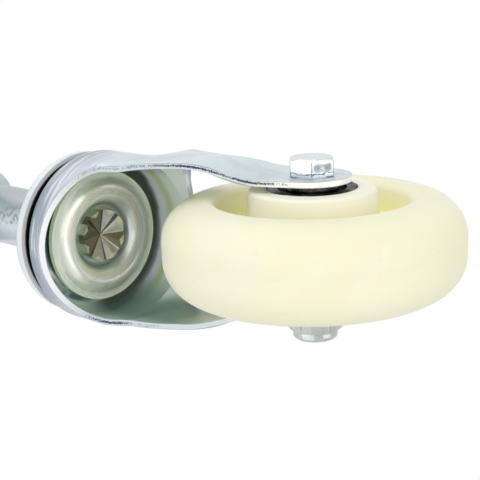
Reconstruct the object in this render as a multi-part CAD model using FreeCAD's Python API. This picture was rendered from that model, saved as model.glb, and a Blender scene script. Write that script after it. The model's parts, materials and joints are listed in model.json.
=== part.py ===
import FreeCAD, Part
import math
import os
from FreeCAD import Vector

# Spring-loaded gate wheel, in millimetres.
# The bracket's back face lies in the plane y = 0 with its centre at the origin, and the rod stands along Z.
# The wheel trails away from the wall, and the axle bolt's head is on the -X side.

# Bracket: one folded strip with two ears
bracket_sheet = 5.0
bracket_width = 80.0
bracket_height = 140.0
bracket_bend = 10.0
rod_offset = 40.0
ear_end_radius = 16.5
ear_root = 20.0
mount_spacing_x = 54.0
mount_spacing_z = 90.0
mount_hole_radius = 4.5

# Rod, its cross pin and the kingpin turned on its lower end
rod_radius = 11.0
rod_running_gap = 0.08
rod_above_bracket = 15.0
rod_chamfer = 1.5
stem_reach = 62.9
kingpin_radius = 7.4
kingpin_tip_radius = 6.6
cross_pin_radius = 3.0
cross_pin_overhang = 4.0
stake_radius = 9.0
stake_height = 3.3
stake_facets = 8
stake_point = 2.9
stake_groove = 0.8

# Spring and its washers
wire_radius = 2.5
spring_mean_radius = 14.0
spring_turns = 9.0
washer_radius = 17.0
washer_thickness = 2.5
washer_gap = 0.3
stop_gap = 0.2

# Swivel head: two pressed races and two rows of balls
top_race_radius = 28.5
top_race_sheet = 2.5
top_race_edge = 1.0
top_race_rim_gap = 1.9
crown_gap = 4.2
upper_ball_radius = 3.0
upper_track_radius = 20.5
crown_track_depth = 0.6
lower_ball_radius = 2.5
lower_track_radius = 16.3
lower_race_radius = 22.6
lower_race_sheet = 1.8
lower_race_rise = 4.7
lower_race_rim_rise = 1.8
lower_race_track_bend = 3.6
lower_race_inner_bend = 3.0
lower_race_outer_bend = 4.0
ball_gap = 0.1
ball_spacing = 0.2
press_gap = 0.03

# Fork: pressed crown, skirt with a flat back, and two legs that step inwards
fork_sheet = 2.0
fork_height = 74.4
fork_trail = 33.3
crown_radius = 29.7
crown_edge = 6.0
crown_track_edge = 2.5
kingpin_clearance = 0.8
skirt_drop = 19.4
skirt_full_height = 48.0
fork_half_width = 28.4
web_offset = 28.4
skirt_corner = 2.4
web_clearance = 1.0
lip_height = 65.2
lip_slope = 25.0
lip_corner_height = 57.5
lip_corner_radius = 14.0
knee_y = -9.5
knee_height = 22.0
knee_radius = 60.0
waist_y = -23.5
waist_height = 29.0
waist_radius = 6.0
leg_end_radius = 13.0
leg_half_width = 23.0
step_start = 32.0
step_end = 7.0

# Wheel
wheel_diameter = 100.0
tread_width = 32.0
tread_corner = 13.0
recess_radius = 32.0
recess_edge = 3.2
recess_draft = 1.0
web_thickness = 10.0
web_fillet = 3.0
hub_radius = 21.0
hub_edge = 1.2
hub_half_width = 18.9
hub_shoulder_radius = 12.5

# Bearings
bearing_bore = 10.0
bearing_outside = 30.0
bearing_width = 9.0
bearing_pitch_radius = 10.0
bearing_ball_radius = 2.38
bearing_ball_count = 8
bearing_ball_gap = 0.05
bearing_land = 1.4
shield_thickness = 0.5
shield_recess = 0.4
shield_gap = 0.25
cage_thickness = 0.8
cage_width = 6.0
ring_chamfer = 0.5

# Axle bolt, lock nut and spacers
bolt_gap = 0.05
bolt_across_flats = 14.0
nut_across_flats = 16.6
bolt_head_height = 6.0
bolt_end_length = 0.6
washer_face_share = 0.95
washer_face_height = 0.4
hex_chamfer_angle = 30.0
bolt_turn = 19.2
nut_turn = 49.2
nut_hex_height = 6.2
nut_height = 9.3
nut_collar_radius = 7.6
nut_collar_edge = 1.6
insert_thickness = 2.0
insert_wall = 1.4
spacer_radius = 7.0

# Levels and places that follow from the sizes above
bolt_radius = bearing_bore / 2 - bolt_gap
rod_y = -rod_offset
ear_low = -bracket_height / 2
rod_top = bracket_height / 2 + rod_above_bracket
race_top = ear_low - stem_reach
race_under = race_top - top_race_sheet
crown_top = race_under - crown_gap
axle_z = crown_top - fork_height
axle_y = rod_y - fork_trail
wheel_radius = wheel_diameter / 2
upper_ball_z = crown_top - crown_track_depth + upper_ball_radius + ball_gap
lower_ball_z = crown_top - fork_sheet - ball_gap - lower_ball_radius
lower_track_bottom = lower_ball_z - lower_ball_radius - ball_gap
ring_top = lower_track_bottom + lower_race_rise
ring_under = ring_top - lower_race_sheet
pin_z = ear_low + bracket_sheet + stop_gap + cross_pin_radius
lower_washer_z = pin_z + cross_pin_radius
upper_washer_z = bracket_height / 2 - bracket_sheet - washer_thickness
leg_inside = leg_half_width - fork_sheet
bearing_inside = hub_half_width - bearing_width
sides = (-1, 1)
tiny = 1e-6


# Points drawn in a flat section and put into the part's frame

def about_rod(point):
    return Vector(point[0], rod_y, point[1])


def about_axle(point):
    return Vector(point[0], axle_y, axle_z + point[1])


def side_view(point):
    return Vector(0, rod_y + point[0], axle_z + point[1])


def front_view(point):
    return Vector(point[0], 0, axle_z + point[1])


def bracket_view(point):
    return Vector(0, point[0], point[1])


def level(z):
    return lambda point: Vector(point[0], rod_y + point[1], z)


def plan(point):
    return Vector(point[0], point[1], 0)


# Lines, arcs and rounded outlines

def line(start, end, place):
    return Part.LineSegment(place(start), place(end)).toShape()


def arc(start, middle, end, place):
    return Part.Arc(place(start), place(middle), place(end)).toShape()


def on_circle(centre, radius, angle):
    return (centre[0] + radius * math.cos(angle), centre[1] + radius * math.sin(angle))


def circle_arc(centre, radius, first, last, place):
    middle = (first + last) / 2
    points = [on_circle(centre, radius, angle) for angle in (first, middle, last)]
    return arc(points[0], points[1], points[2], place)


def corner_points(before, corner, after, radius):
    into = math.atan2(before[1] - corner[1], before[0] - corner[0])
    out = math.atan2(after[1] - corner[1], after[0] - corner[0])
    half = math.remainder(out - into, 2 * math.pi) / 2
    reach = radius / abs(math.tan(half))
    centre = on_circle(corner, radius / abs(math.sin(half)), into + half)
    middle = on_circle(centre, radius, into + half + math.pi)
    return on_circle(corner, reach, into), middle, on_circle(corner, reach, out)


# Each point is (a, b) for a sharp corner or (a, b, radius) for a rounded one; the two ends are sharp.
def rounded_line(points, place):
    edges = []
    last = points[0][:2]
    for before, corner, after in zip(points, points[1:], points[2:]):
        if len(corner) == 3:
            first, middle, end = corner_points(before, corner, after, corner[2])
            edges.append(line(last, first, place))
            edges.append(arc(first, middle, end, place))
            last = end
        else:
            edges.append(line(last, corner, place))
            last = corner
    edges.append(line(last, points[-1][:2], place))
    return edges


def face_of(edges):
    return Part.Face(Part.Wire(Part.__sortEdges__(edges)))


def outline(points, place):
    return face_of(rounded_line(points + [points[0]], place))


# Where a line from a point touches a circle, on the side given by +1 or -1
def touch_point(centre, radius, point, side):
    along = math.atan2(point[1] - centre[1], point[0] - centre[0])
    reach = math.hypot(point[0] - centre[0], point[1] - centre[1])
    return on_circle(centre, radius, along + side * math.acos(radius / reach))


# Bent sheet: a path of straight runs (a length) and bends (a radius and a turn in degrees, left is positive).
# The radii are those of the path's own face, and the sheet lies to the right of it.
def sheet_edges(start, heading, moves, shift, place):
    angle = math.radians(heading)
    point = (start[0] + shift * math.sin(angle), start[1] - shift * math.cos(angle))
    edges = []
    for move in moves:
        if isinstance(move, tuple):
            side = math.copysign(1, move[1])
            radius = move[0] + side * shift
            centre = on_circle(point, radius, angle + side * math.pi / 2)
            first = angle - side * math.pi / 2
            last = first + math.radians(move[1])
            end = on_circle(centre, radius, last)
            if radius > tiny:
                edges.append(circle_arc(centre, radius, first, last, place))
            angle += math.radians(move[1])
        else:
            end = on_circle(point, move, angle)
            if move > tiny:
                edges.append(line(point, end, place))
        point = end
    return edges, point


def bent_sheet(start, heading, moves, thickness, place):
    near, near_end = sheet_edges(start, heading, moves, 0, place)
    far, far_end = sheet_edges(start, heading, moves, thickness, place)
    angle = math.radians(heading)
    far_start = (start[0] + thickness * math.sin(angle), start[1] - thickness * math.cos(angle))
    caps = [line(start, far_start, place), line(near_end, far_end, place)]
    return face_of(near + far + caps)


# Turn, in degrees, of a step of the given height made by two bends
def step_turn(height, first_radius, second_radius):
    return math.degrees(math.acos(1 - height / (first_radius + second_radius)))


def step_run(height, first_radius, second_radius):
    turn = math.radians(step_turn(height, first_radius, second_radius))
    return (first_radius + second_radius) * math.sin(turn)


# Solids of revolution about the rod and about the axle

def turn_on_rod(face):
    return face.revolve(Vector(0, rod_y, 0), Vector(0, 0, 1), 360)


def turn_on_axle(face):
    return face.revolve(Vector(0, axle_y, axle_z), Vector(1, 0, 0), 360)


def rod_ring(inner, outer, low, high):
    return turn_on_rod(outline([(inner, low), (outer, low), (outer, high), (inner, high)], about_rod))


def axle_ring(inner, outer, low, high):
    return turn_on_axle(outline([(low, inner), (high, inner), (high, outer), (low, outer)], about_axle))


def rod_cylinder(radius, low, high):
    return Part.makeCylinder(radius, high - low, Vector(0, rod_y, low))


def axle_cylinder(radius, low, high):
    return Part.makeCylinder(radius, high - low, Vector(low, axle_y, axle_z), Vector(1, 0, 0))


def across(face, half_width):
    return face.translated(Vector(-half_width, 0, 0)).extrude(Vector(2 * half_width, 0, 0))


# Bracket

def make_bracket():
    ear_reach = rod_offset + ear_end_radius
    ear_run = ear_reach - bracket_bend
    plate_run = bracket_height - 2 * bracket_bend
    moves = [ear_run, (bracket_bend, -90), plate_run, (bracket_bend, -90), ear_run]
    strip = bent_sheet((-ear_reach, bracket_height / 2), 0, moves, bracket_sheet, bracket_view)
    half = bracket_width / 2
    centre = (0, rod_y)
    right = touch_point(centre, ear_end_radius, (half, -ear_root), -1)
    left = touch_point(centre, ear_end_radius, (-half, -ear_root), 1)
    bottom = (0, rod_y - ear_end_radius)
    edges = rounded_line([left, (-half, -ear_root), (-half, 0), (half, 0), (half, -ear_root), right], plan)
    edges.append(arc(right, bottom, left, plan))
    blank = face_of(edges).translated(Vector(0, 0, ear_low)).extrude(Vector(0, 0, bracket_height))
    bracket = across(strip, half).common(blank)
    holes = [rod_cylinder(rod_radius + rod_running_gap, ear_low, bracket_height / 2)]
    for x_side in sides:
        for z_side in sides:
            centre = Vector(x_side * mount_spacing_x / 2, 0, z_side * mount_spacing_z / 2)
            holes.append(Part.makeCylinder(mount_hole_radius, bracket_sheet, centre, Vector(0, -1, 0)))
    return bracket.cut(holes)


# Rod with its kingpin, cross hole and staked end

def make_stem():
    stake_bottom = ring_under - stake_height
    points = [
        (0, stake_bottom),
        (stake_radius, stake_bottom),
        (stake_radius, ring_under),
        (kingpin_tip_radius, ring_under),
        (kingpin_tip_radius, ring_top),
        (kingpin_radius, ring_top),
        (kingpin_radius, race_top),
        (rod_radius, race_top),
        (rod_radius, rod_top - rod_chamfer),
        (rod_radius - rod_chamfer, rod_top),
        (0, rod_top),
    ]
    stem = turn_on_rod(outline(points, about_rod))
    return stem.cut([make_cross_pin(press_gap), stake_punch(stake_bottom)])


# Pointed punch that spreads the rod's end, with a groove pressed by each of its edges
def stake_punch(low):
    half_angle = math.pi / stake_facets
    reach = stake_radius / math.cos(half_angle)
    point = Vector(0, rod_y, low + stake_point)
    ridges = []
    grooves = []
    for index in range(stake_facets):
        angle = 2 * half_angle * index
        ridges.append(Vector(*on_circle((0, rod_y), reach, angle - half_angle), low))
        grooves.append(Vector(*on_circle((0, rod_y), reach, angle), low + stake_groove))
    outlines = [ridges]
    for near, deep, far in zip(ridges, grooves, ridges[1:] + ridges[:1]):
        outlines += [[point, near, deep], [point, deep, far], [near, far, deep]]
    faces = [Part.Face(Part.makePolygon(corners + corners[:1])) for corners in outlines]
    return Part.Solid(Part.Shell(faces))


def make_cross_pin(extra):
    length = 2 * (rod_radius + cross_pin_overhang)
    start = Vector(-length / 2, rod_y, pin_z)
    return Part.makeCylinder(cross_pin_radius + extra, length, start, Vector(1, 0, 0))


# Spring and washers

def make_washer(low):
    return rod_ring(rod_radius + washer_gap, washer_radius, low, low + washer_thickness)


def make_spring():
    low = lower_washer_z + washer_thickness
    length = upper_washer_z - low
    helix = Part.makeHelix(length / spring_turns, length, spring_mean_radius)
    circle = Part.makeCircle(wire_radius, Vector(spring_mean_radius, 0, 0), Vector(0, 1, 0))
    coil = Part.Wire(helix).makePipeShell([Part.Wire(circle)], True, True)
    between = Part.makeCylinder(spring_mean_radius + 2 * wire_radius, length)
    return coil.common(between).translated(Vector(0, rod_y, low))


# Swivel races and balls

def make_top_race():
    track = upper_ball_radius + ball_gap + top_race_sheet
    rise = upper_ball_z + upper_ball_radius + ball_gap - race_under
    turn = step_turn(rise, track, top_race_edge)
    run = step_run(rise, track, top_race_edge)
    bore = kingpin_radius + press_gap
    moves = [
        upper_track_radius - run - bore,
        (top_race_edge, turn),
        (track, -2 * turn),
        (top_race_edge, turn),
        top_race_radius - top_race_sheet - upper_track_radius - run,
        (top_race_sheet, -90),
        crown_gap - top_race_rim_gap,
    ]
    return turn_on_rod(bent_sheet((bore, race_top), 0, moves, top_race_sheet, about_rod))


def make_lower_race():
    track = lower_race_track_bend
    inner_turn = step_turn(lower_race_rise, lower_race_inner_bend, track)
    inner_run = step_run(lower_race_rise, lower_race_inner_bend, track)
    outer_turn = step_turn(lower_race_rim_rise, track, lower_race_outer_bend)
    outer_run = step_run(lower_race_rim_rise, track, lower_race_outer_bend)
    bore = kingpin_tip_radius + press_gap
    moves = [
        lower_track_radius - inner_run - bore,
        (lower_race_inner_bend, -inner_turn),
        (track, inner_turn + outer_turn),
        (lower_race_outer_bend, -outer_turn),
        lower_race_radius - lower_track_radius - outer_run,
    ]
    return turn_on_rod(bent_sheet((bore, ring_top), 0, moves, lower_race_sheet, about_rod))


def make_ball_row(ball_radius, row_radius, z):
    count = int(2 * math.pi * row_radius / (2 * ball_radius + ball_spacing))
    balls = []
    for index in range(count):
        x, y = on_circle((0, rod_y), row_radius, 2 * math.pi * index / count)
        balls.append(Part.makeSphere(ball_radius, Vector(x, y, z)))
    return Part.makeCompound(balls)


# Fork

def skirt_section(half, back, corner, z):
    place = level(z)
    side_end = -(back - corner)
    inset = half - corner
    edges = [
        circle_arc((0, 0), half, 0, math.pi, place),
        line((-half, 0), (-half, side_end), place),
        circle_arc((-inset, side_end), corner, math.pi, 1.5 * math.pi, place),
        line((-inset, -back), (inset, -back), place),
        circle_arc((inset, side_end), corner, 1.5 * math.pi, 2 * math.pi, place),
        line((half, side_end), (half, 0), place),
    ]
    return Part.Wire(edges)


# A round section, divided where the skirt's section has its corners
def crown_section(radius, half, back, corner, z):
    place = level(z)
    first = math.atan2(back - corner, half)
    second = math.atan2(back, half - corner)
    turn = math.pi
    steps = [0, turn, turn + first, turn + second, 2 * turn - second, 2 * turn - first, 2 * turn]
    return Part.Wire([circle_arc((0, 0), radius, a, b, place) for a, b in zip(steps, steps[1:])])


def skirt_solid(inset, top, low, bottom):
    half = fork_half_width - inset
    back = web_offset - inset
    corner = skirt_corner - inset
    upper = crown_section(crown_radius - inset, half, back, corner, top)
    lower = skirt_section(half, back, corner, low)
    blend = Part.makeLoft([upper, lower], True, True)
    straight = Part.Face(lower).extrude(Vector(0, 0, bottom - low))
    return blend.fuse(straight)


def fork_crown(skirt_top):
    track = upper_ball_radius + ball_gap
    turn = step_turn(crown_track_depth, track, crown_track_edge)
    run = step_run(crown_track_depth, track, crown_track_edge)
    bore = kingpin_radius + kingpin_clearance
    moves = [
        upper_track_radius - run - bore,
        (crown_track_edge, -turn),
        (track, 2 * turn),
        (crown_track_edge, -turn),
        crown_radius - crown_edge - upper_track_radius - run,
        (crown_edge, -90),
        crown_top - crown_edge - skirt_top,
    ]
    return turn_on_rod(bent_sheet((bore, crown_top), 0, moves, fork_sheet, about_rod))


def fork_leg(side):
    step = fork_half_width - leg_half_width
    fall = step_start - step_end
    turn = 2 * math.degrees(math.atan(step / fall))
    bend = (fall ** 2 + step ** 2) / (4 * step)
    moves = [(bend, -turn), (bend, turn), step_end + leg_end_radius]
    section = bent_sheet((fork_half_width, step_start), -90, moves, fork_sheet, front_view)
    section.translate(Vector(0, axle_y - leg_end_radius, 0))
    leg = section.extrude(Vector(0, fork_trail + leg_end_radius, 0))
    if side < 0:
        return leg.mirror(Vector(0, 0, 0), Vector(1, 0, 0))
    return leg


# Side outline of the fork: front lip, front edge of the legs, round ends, rear edge and the web's free edge
def fork_outline(web_edge):
    margin = crown_edge
    lip_fall = lip_height - lip_corner_height
    slope = math.tan(math.radians(lip_slope))
    lip_corner = (crown_radius - lip_fall / slope, lip_corner_height, lip_corner_radius)
    front = crown_radius + margin
    knee = (knee_y, knee_height, knee_radius)
    waist = (waist_y, waist_height, waist_radius)
    end = (-fork_trail, 0)
    front_touch = touch_point(end, leg_end_radius, knee, -1)
    rear_touch = touch_point(end, leg_end_radius, waist, 1)
    rear_top = (skirt_corner - web_offset, web_edge)
    points = [
        (-front, web_edge),
        (-front, fork_height + margin),
        (front, fork_height + margin),
        (front, lip_height + margin * slope),
        lip_corner,
        knee,
        front_touch,
    ]
    edges = rounded_line(points, side_view)
    edges += rounded_line([rear_touch, waist, rear_top, (-front, web_edge)], side_view)
    low = math.atan2(front_touch[1], front_touch[0] + fork_trail)
    high = math.atan2(rear_touch[1], rear_touch[0] + fork_trail) - 2 * math.pi
    edges.append(circle_arc(end, leg_end_radius, low, high, side_view))
    return across(face_of(edges), crown_radius + margin)


def make_fork():
    web_edge = wheel_radius + web_clearance
    skirt_top = crown_top - skirt_drop
    levels = (skirt_top, axle_z + skirt_full_height, axle_z + step_start)
    skirt = skirt_solid(0, *levels).cut(skirt_solid(fork_sheet, *levels))
    blank = fork_crown(skirt_top).fuse([skirt, fork_leg(-1), fork_leg(1)])
    fork = blank.common(fork_outline(web_edge))
    fork = fork.cut(axle_cylinder(bolt_radius + bolt_gap, -fork_half_width, fork_half_width))
    return fork.removeSplitter()


# Wheel

def make_wheel():
    half = tread_width / 2
    web = web_thickness / 2
    seat = bearing_outside / 2 + press_gap
    upper = [
        (half, wheel_radius, tread_corner),
        (half, recess_radius, recess_edge),
        (web, recess_radius - recess_draft, web_fillet),
        (web, hub_radius + recess_draft, web_fillet),
        (hub_half_width, hub_radius, hub_edge),
        (hub_half_width, seat),
        (bearing_inside, seat),
        (bearing_inside, hub_shoulder_radius),
    ]
    lower = [(-point[0],) + point[1:] for point in reversed(upper)]
    start = (0, wheel_radius)
    return turn_on_axle(outline([start] + upper + lower, about_axle))


# Bearings, built on the middle of their width and moved to their side

def bearing_place(shape, side):
    return shape.translated(Vector(side * (bearing_inside + bearing_width / 2), 0, 0))


def ball_groove():
    centre = about_axle((0, bearing_pitch_radius))
    section = Part.makeCircle(bearing_ball_radius + bearing_ball_gap, centre, Vector(0, 1, 0))
    return turn_on_axle(Part.Face(Part.Wire(section)))


def bearing_ring(land, face, chamfer_side):
    half = bearing_width / 2
    edge = face - chamfer_side * ring_chamfer
    points = [
        (-half, land),
        (half, land),
        (half, edge),
        (half - ring_chamfer, face),
        (ring_chamfer - half, face),
        (-half, edge),
    ]
    return turn_on_axle(outline(points, about_axle)).cut(ball_groove())


def make_outer_ring(side):
    return bearing_place(bearing_ring(bearing_pitch_radius + bearing_land, bearing_outside / 2, 1), side)


def make_inner_ring(side):
    return bearing_place(bearing_ring(bearing_pitch_radius - bearing_land, bearing_bore / 2, -1), side)


def make_shields(side):
    inner = bearing_pitch_radius - bearing_land + shield_gap
    outer = bearing_pitch_radius + bearing_land - press_gap
    face = bearing_width / 2 - shield_recess
    shields = []
    for end in sides:
        low, high = sorted((end * face, end * (face - shield_thickness)))
        shields.append(bearing_place(axle_ring(inner, outer, low, high), side))
    return Part.makeCompound(shields)


def bearing_spheres(radius):
    spheres = []
    for index in range(bearing_ball_count):
        angle = 2 * math.pi * index / bearing_ball_count
        y, z = on_circle((axle_y, axle_z), bearing_pitch_radius, angle)
        spheres.append(Part.makeSphere(radius, Vector(0, y, z)))
    return spheres


def make_bearing_balls(side):
    return Part.makeCompound([bearing_place(ball, side) for ball in bearing_spheres(bearing_ball_radius)])


def make_cage(side):
    inner = bearing_pitch_radius - cage_thickness / 2
    outer = bearing_pitch_radius + cage_thickness / 2
    ring = axle_ring(inner, outer, -cage_width / 2, cage_width / 2)
    pockets = bearing_spheres(bearing_ball_radius + bearing_ball_gap)
    return bearing_place(ring.cut(pockets), side)


# Axle bolt, lock nut and spacers

def hexagon(across_flats, low, high, turn):
    corner = across_flats / math.sqrt(3)
    points = [on_circle((axle_y, axle_z), corner, math.radians(60 * index + turn)) for index in range(6)]
    vectors = [Vector(low, y, z) for y, z in points]
    return Part.Face(Part.makePolygon(vectors + [vectors[0]])).extrude(Vector(high - low, 0, 0))


# Turned blank that rounds the corners of a hexagon, on the ends that are asked for
def chamfer_blank(across_flats, low, high, cut_low, cut_high):
    corner = across_flats / math.sqrt(3)
    flat = washer_face_share * across_flats / 2
    fall = (corner - flat) * math.tan(math.radians(hex_chamfer_angle))
    points = [(low, 0)]
    points += [(low, flat), (low + fall, corner)] if cut_low else [(low, corner)]
    points += [(high - fall, corner), (high, flat)] if cut_high else [(high, corner)]
    points += [(high, 0)]
    return turn_on_axle(outline(points, about_axle))


def make_bolt():
    seat = -leg_half_width
    under = seat - washer_face_height
    top = seat - bolt_head_height
    head = hexagon(bolt_across_flats, top, under, bolt_turn)
    head = head.common(chamfer_blank(bolt_across_flats, top, under, True, False))
    face = axle_cylinder(washer_face_share * bolt_across_flats / 2, under, seat)
    tip = leg_half_width + nut_height + bolt_end_length
    points = [
        (seat, 0),
        (seat, bolt_radius),
        (tip - bolt_end_length, bolt_radius),
        (tip, bolt_radius - bolt_end_length),
        (tip, 0),
    ]
    shank = turn_on_axle(outline(points, about_axle))
    return head.fuse([face, shank]).removeSplitter()


def insert_sizes():
    outer = bolt_radius + bolt_gap + insert_wall
    high = leg_half_width + nut_height - insert_wall / 2
    return outer, high - insert_thickness, high


def make_nut():
    low = leg_half_width
    middle = low + nut_hex_height
    top = low + nut_height
    bore = bolt_radius + bolt_gap
    under = low + washer_face_height
    body = hexagon(nut_across_flats, under, middle, nut_turn)
    body = body.common(chamfer_blank(nut_across_flats, under, middle, False, True))
    face = axle_cylinder(washer_face_share * nut_across_flats / 2, low, under)
    points = [(middle, 0), (middle, nut_collar_radius), (top, nut_collar_radius, nut_collar_edge), (top, 0)]
    collar = turn_on_axle(outline(points, about_axle))
    outer, seat, lip = insert_sizes()
    hollow = axle_cylinder(outer + press_gap, seat, lip)
    mouth = axle_cylinder(bore + insert_wall / 2, lip, top)
    hole = axle_cylinder(bore, low, seat)
    return body.fuse([face, collar]).cut([hole, hollow, mouth]).removeSplitter()


def make_nut_insert():
    outer, seat, lip = insert_sizes()
    return axle_ring(bolt_radius + bolt_gap, outer, seat, lip)


def make_spacer_tube():
    return axle_ring(bolt_radius + bolt_gap, spacer_radius, -bearing_inside, bearing_inside)


def make_leg_spacers():
    inner = bolt_radius + bolt_gap
    right = axle_ring(inner, spacer_radius, hub_half_width, leg_inside)
    left = axle_ring(inner, spacer_radius, -leg_inside, -hub_half_width)
    return Part.makeCompound([left, right])


pieces = {
    "bracket": make_bracket(),
    "upper_spring_washer": make_washer(upper_washer_z),
    "spring": make_spring(),
    "stem": make_stem(),
    "cross_pin": make_cross_pin(0),
    "lower_spring_washer": make_washer(lower_washer_z),
    "top_race": make_top_race(),
    "lower_race": make_lower_race(),
    "upper_swivel_balls": make_ball_row(upper_ball_radius, upper_track_radius, upper_ball_z),
    "lower_swivel_balls": make_ball_row(lower_ball_radius, lower_track_radius, lower_ball_z),
    "fork": make_fork(),
    "axle_bolt": make_bolt(),
    "axle_nut": make_nut(),
    "nut_insert": make_nut_insert(),
    "spacer_tube": make_spacer_tube(),
    "leg_spacers": make_leg_spacers(),
    "wheel": make_wheel(),
}
for name, side in (("left", -1), ("right", 1)):
    pieces[name + "_outer_ring"] = make_outer_ring(side)
    pieces[name + "_inner_ring"] = make_inner_ring(side)
    pieces[name + "_shields"] = make_shields(side)
    pieces[name + "_bearing_balls"] = make_bearing_balls(side)
    pieces[name + "_cage"] = make_cage(side)

os.makedirs("parts", exist_ok=True)
for name, shape in pieces.items():
    shape.exportStep("parts/" + name + ".step")
    print(name, len(shape.Solids), shape.isValid(), round(shape.Volume, 1))
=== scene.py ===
import json
import math
import bmesh
import bpy
from mathutils import Matrix, Vector

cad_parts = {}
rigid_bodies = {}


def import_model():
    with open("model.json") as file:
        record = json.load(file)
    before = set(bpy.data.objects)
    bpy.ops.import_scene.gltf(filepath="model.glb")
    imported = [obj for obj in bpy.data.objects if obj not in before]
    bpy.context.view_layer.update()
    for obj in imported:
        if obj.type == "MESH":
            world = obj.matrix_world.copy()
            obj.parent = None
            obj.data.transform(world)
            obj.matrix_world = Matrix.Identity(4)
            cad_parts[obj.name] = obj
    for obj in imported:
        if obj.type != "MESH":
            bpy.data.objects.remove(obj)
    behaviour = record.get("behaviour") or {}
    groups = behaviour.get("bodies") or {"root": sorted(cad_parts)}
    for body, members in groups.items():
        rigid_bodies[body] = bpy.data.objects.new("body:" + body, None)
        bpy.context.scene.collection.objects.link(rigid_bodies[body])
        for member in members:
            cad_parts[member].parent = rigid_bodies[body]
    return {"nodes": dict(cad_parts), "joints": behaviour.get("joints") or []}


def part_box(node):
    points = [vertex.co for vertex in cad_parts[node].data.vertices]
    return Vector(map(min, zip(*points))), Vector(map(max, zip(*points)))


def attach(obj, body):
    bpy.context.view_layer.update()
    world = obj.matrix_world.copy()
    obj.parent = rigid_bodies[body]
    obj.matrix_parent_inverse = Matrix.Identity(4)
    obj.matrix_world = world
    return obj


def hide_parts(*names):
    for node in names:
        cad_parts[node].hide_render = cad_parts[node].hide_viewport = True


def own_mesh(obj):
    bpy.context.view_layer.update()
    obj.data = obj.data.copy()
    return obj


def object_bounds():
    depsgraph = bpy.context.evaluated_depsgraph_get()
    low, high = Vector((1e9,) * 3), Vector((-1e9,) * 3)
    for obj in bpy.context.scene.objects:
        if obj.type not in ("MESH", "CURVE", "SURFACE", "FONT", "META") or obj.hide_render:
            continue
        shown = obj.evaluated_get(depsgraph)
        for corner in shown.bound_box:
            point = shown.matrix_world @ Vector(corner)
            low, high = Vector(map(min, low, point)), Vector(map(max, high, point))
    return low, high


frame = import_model()
nodes = frame["nodes"]
scene = bpy.context.scene
for leftover in [o for o in scene.objects if o.type != 'EMPTY' and o.name not in nodes]:
    bpy.data.objects.remove(leftover)
cadBox = [list(corner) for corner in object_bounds()]
joints = {joint["name"]: joint for joint in frame["joints"]}
swivel = Vector(joints["fork_swivel"]["pos_m"])   # on the rod's axis, at the top of the fork's crown
axle = Vector(joints["wheel_spin"]["pos_m"])
mm = 0.001
patternRange = (0.3, 0.7)   # where most of a noise pattern lies
print("frame loaded,", len(nodes), "nodes")


# node helpers: each adds to a material's tree and hands back a socket

def tint(red, green, blue):  # a colour as a picker shows it, 0 to 255
    def linear(value):
        share = value / 255
        return share / 12.92 if share <= 0.04045 else ((share + 0.055) / 1.055) ** 2.4
    return (linear(red), linear(green), linear(blue), 1)


def grey(share):
    return (share, share, share, 1)


def join(tree, socket, value):
    if isinstance(value, bpy.types.NodeSocket):
        tree.links.new(value, socket)
    else:
        socket.default_value = value


def addNode(tree, kind, inputs=None, **settings):
    node = tree.nodes.new(kind)
    for name, value in settings.items():
        setattr(node, name, value)
    for name, value in (inputs or {}).items():
        join(tree, node.inputs[name], value)
    return node


def calc(tree, operation, first, second=0.0):
    return addNode(tree, 'ShaderNodeMath', {0: first, 1: second}, operation=operation).outputs[0]


def plus(tree, first, second):
    return calc(tree, 'ADD', first, second)


def minus(tree, first, second):
    return calc(tree, 'SUBTRACT', first, second)


def times(tree, first, *others):
    for other in others:
        first = calc(tree, 'MULTIPLY', first, other)
    return first


def magnitude(tree, value):
    return calc(tree, 'ABSOLUTE', value)


def vectorCalc(tree, operation, first, second=(0, 0, 0)):
    node = addNode(tree, 'ShaderNodeVectorMath', {0: first, 1: second}, operation=operation)
    return node.outputs['Value' if operation in ('LENGTH', 'DOT_PRODUCT') else 'Vector']


def pair(tree, x, y=0.0):
    return addNode(tree, 'ShaderNodeCombineXYZ', {'X': x, 'Y': y}).outputs['Vector']


def axisValue(tree, point, axis):
    return addNode(tree, 'ShaderNodeSeparateXYZ', {'Vector': point}).outputs[axis]


def span(tree, value, low, high, first=0.0, last=1.0):  # eased from one value to another
    inputs = {'Value': value, 'From Min': low, 'From Max': high, 'To Min': first, 'To Max': last}
    return addNode(tree, 'ShaderNodeMapRange', inputs, interpolation_type='SMOOTHSTEP').outputs['Result']


def spanMm(tree, value, low, high, first=0.0, last=1.0):  # the same, between two lengths in mm
    return span(tree, value, low * mm, high * mm, first, last)


def noise(tree, point, size, detail=3.0, stretch=(1, 1, 1), warp=0.0):  # size of the pattern in mm
    place = addNode(tree, 'ShaderNodeMapping', {'Vector': point, 'Scale': stretch}).outputs['Vector']
    inputs = {'Vector': place, 'Scale': 1 / (size * mm), 'Detail': detail, 'Roughness': 0.55, 'Distortion': warp}
    return addNode(tree, 'ShaderNodeTexNoise', inputs).outputs['Fac']


def mixColours(tree, share, first, second):
    node = addNode(tree, 'ShaderNodeMix', data_type='RGBA')
    for index, value in ((0, share), (6, first), (7, second)):  # sockets of the colour mode
        join(tree, node.inputs[index], value)
    return node.outputs[2]


def mixValues(tree, share, first, second):
    return addNode(tree, 'ShaderNodeMix', {0: share, 2: first, 3: second}).outputs[0]


def ramp(tree, value, stops, steps='LINEAR'):
    node = addNode(tree, 'ShaderNodeValToRGB', {'Fac': value})
    node.color_ramp.interpolation = steps
    marks = node.color_ramp.elements
    marks[0].position, marks[0].color = stops[0]
    marks[1].position, marks[1].color = stops[-1]
    for place, colour in stops[1:-1]:
        marks.new(place).color = colour
    return node.outputs['Color']


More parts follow.
